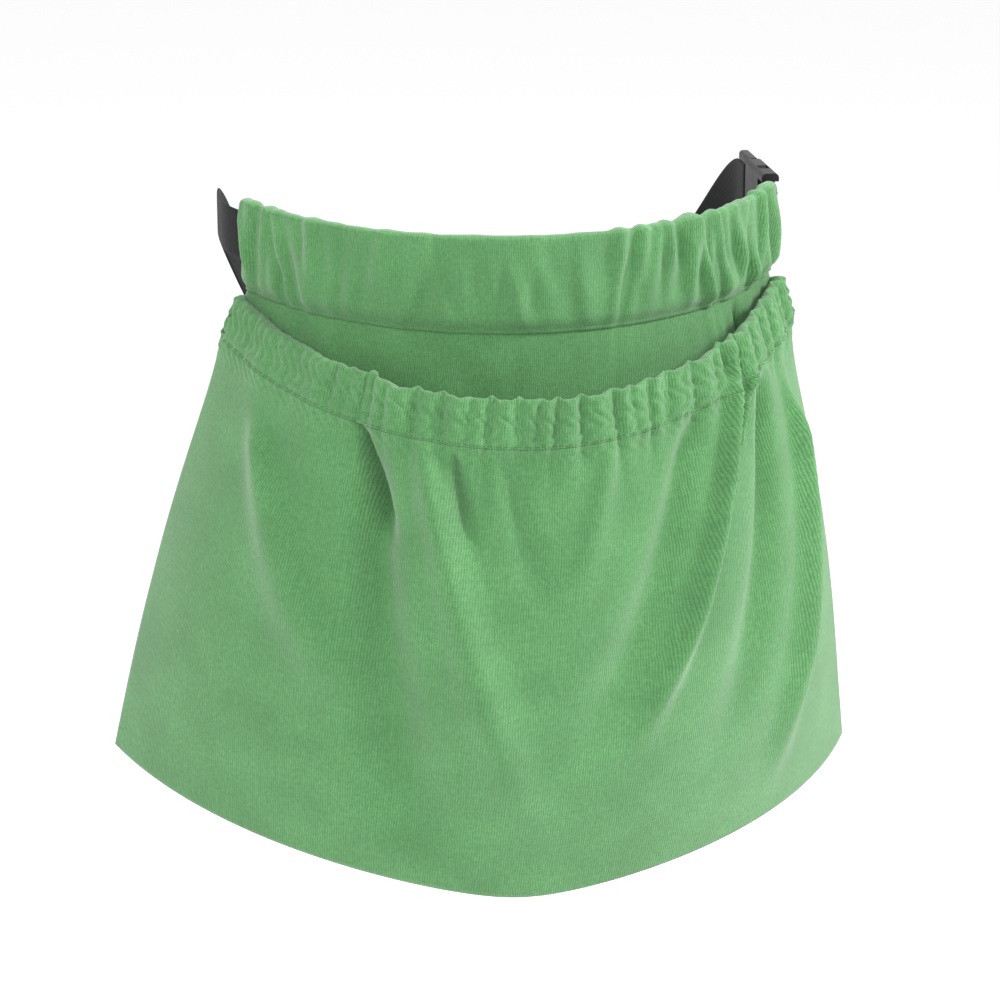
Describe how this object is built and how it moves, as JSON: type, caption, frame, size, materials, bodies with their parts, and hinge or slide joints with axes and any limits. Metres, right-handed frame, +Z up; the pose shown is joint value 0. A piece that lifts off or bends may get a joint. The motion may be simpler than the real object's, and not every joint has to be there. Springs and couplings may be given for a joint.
{
  "type": "fruit picking bag",
  "caption": "Waist-worn canvas picking bag with a gathered elastic mouth, sewn belt casing, webbing belt and side-release buckle.",
  "frame": {"origin": "centre of the waist loop at the belt webbing's mid height", "axes": "+Z up along the wearer, -Y towards the front of the bag, +X towards the wearer's left hip and the buckle"},
  "size_m": [0.4658, 0.3343, 0.4022],
  "materials": {
    "canvas": "brushed cotton canvas, matte",
    "canvas_thread": "sewing thread",
    "webbing": "woven webbing",
    "belt_thread": "sewing thread",
    "elastic": "woven elastic",
    "elastic_black": "woven elastic",
    "buckle_plastic": "moulded acetal"
  },
  "bodies": {
    "bag_back": {"waist_casing": "canvas", "back_panel": "canvas", "belt_webbing_front": "webbing", "belt_front_fold": "webbing", "belt_box_stitch": "belt_thread", "buckle_socket": "buckle_plastic", "waist_casing_stitching": "canvas_thread"},
    "pouch_front": {"front_panel": "canvas", "mouth_casing": "canvas", "mouth_elastic": "elastic", "mouth_casing_stitching": "canvas_thread", "side_seam_stitching_left": "canvas_thread", "side_seam_stitching_right": "canvas_thread", "bottom_seam_stitching": "canvas_thread", "mouth_corner_tacks": "canvas_thread"},
    "belt_rear": {"belt_webbing_rear": "webbing", "belt_tail": "webbing", "belt_tail_fold": "webbing", "buckle_plug": "buckle_plastic"},
    "slider": {"belt_slider": "buckle_plastic"},
    "keeper": {"belt_keeper": "elastic_black"},
    "prong_upper": {"buckle_prong_upper": "buckle_plastic"},
    "prong_lower": {"buckle_prong_lower": "buckle_plastic"}
  },
  "joints": [
    {"name": "belt_swing", "type": "hinge", "parent": "bag_back", "child": "belt_rear", "pos_m": [-0.172, 0.045, 0], "axis": [0, 0, 1], "range_deg": [0, 80], "deforming": ["buckle_prong_upper", "buckle_prong_lower"]},
    {"name": "pouch_open", "type": "hinge", "parent": "bag_back", "child": "pouch_front", "pos_m": [-0.017, -0.1615, -0.379], "axis": [1, 0, 0], "range_deg": [0, 12], "stiffness_Nm_per_rad": 14},
    {"name": "slider_slide", "type": "slide", "parent": "belt_rear", "child": "slider", "axis": [0.992, 0.1261, 0], "range_m": [-0.015, 0.015]},
    {"name": "keeper_slide", "type": "slide", "parent": "belt_rear", "child": "keeper", "axis": [0.992, 0.1261, 0], "range_m": [-0.01, 0.01]},
    {"name": "prong_upper_squeeze", "type": "hinge", "parent": "belt_rear", "child": "prong_upper", "pos_m": [0.1692, 0.0597, 0.012], "axis": [1, 0, 0], "range_deg": [0, 8], "stiffness_Nm_per_rad": 2},
    {"name": "prong_lower_squeeze", "type": "hinge", "parent": "belt_rear", "child": "prong_lower", "pos_m": [0.1692, 0.0597, -0.012], "axis": [-1, 0, 0], "range_deg": [0, 8], "stiffness_Nm_per_rad": 2}
  ],
  "couplings": [
    {"joint": "prong_lower_squeeze", "follows": "prong_upper_squeeze", "ratio": 1}
  ]
}
